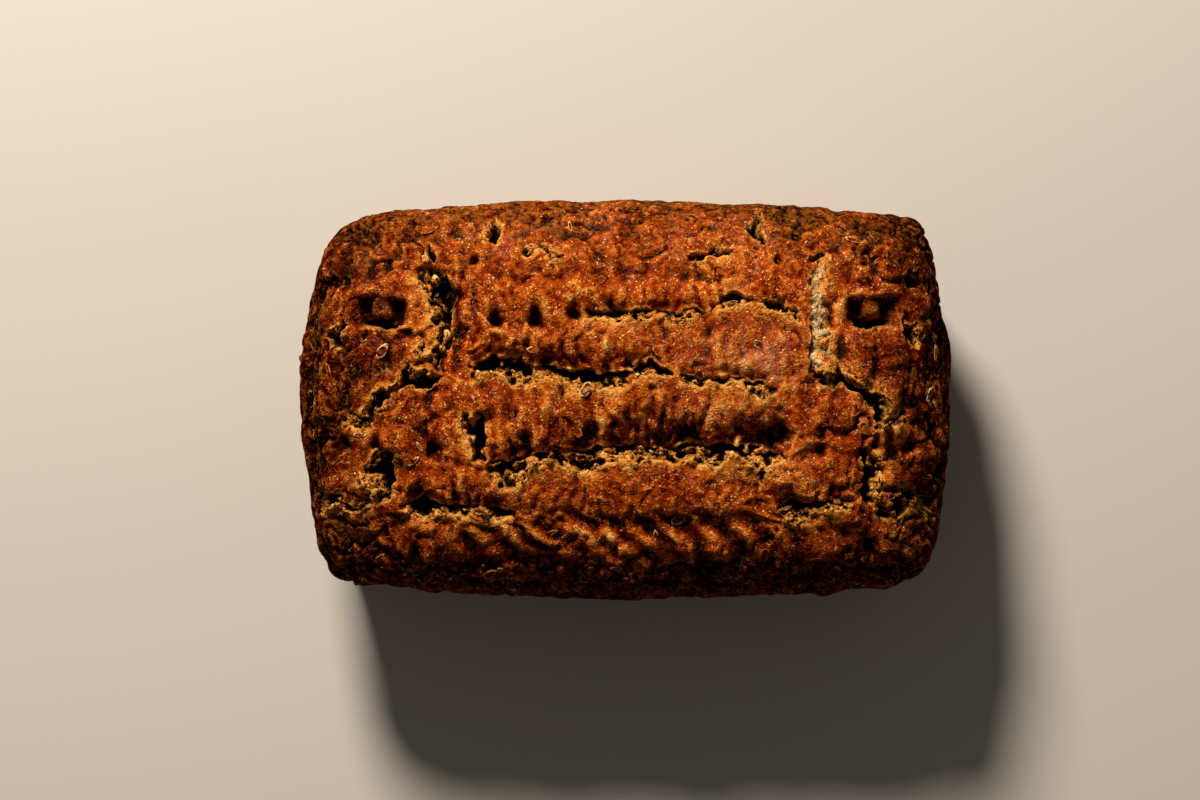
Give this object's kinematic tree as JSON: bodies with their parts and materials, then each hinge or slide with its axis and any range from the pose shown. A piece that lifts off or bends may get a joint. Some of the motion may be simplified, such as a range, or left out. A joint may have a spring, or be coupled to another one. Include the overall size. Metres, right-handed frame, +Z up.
{
  "type": "rye bread loaf",
  "caption": "Uncut rectangular rye bread loaf baked in a tin, with a domed dark crust torn into long overlapping rolls.",
  "frame": {"origin": "middle of the loaf's box in plan, at the height of the flat base it rests on", "axes": "+X along the loaf, +Y to its back, +Z up out of the crust"},
  "size_m": [0.221, 0.136, 0.0808],
  "materials": {
    "crust": "matte",
    "torn_crumb": "matte",
    "grain": "satin"
  },
  "bodies": {
    "root": {"rye_loaf": "crust"}
  },
  "joints": []
}
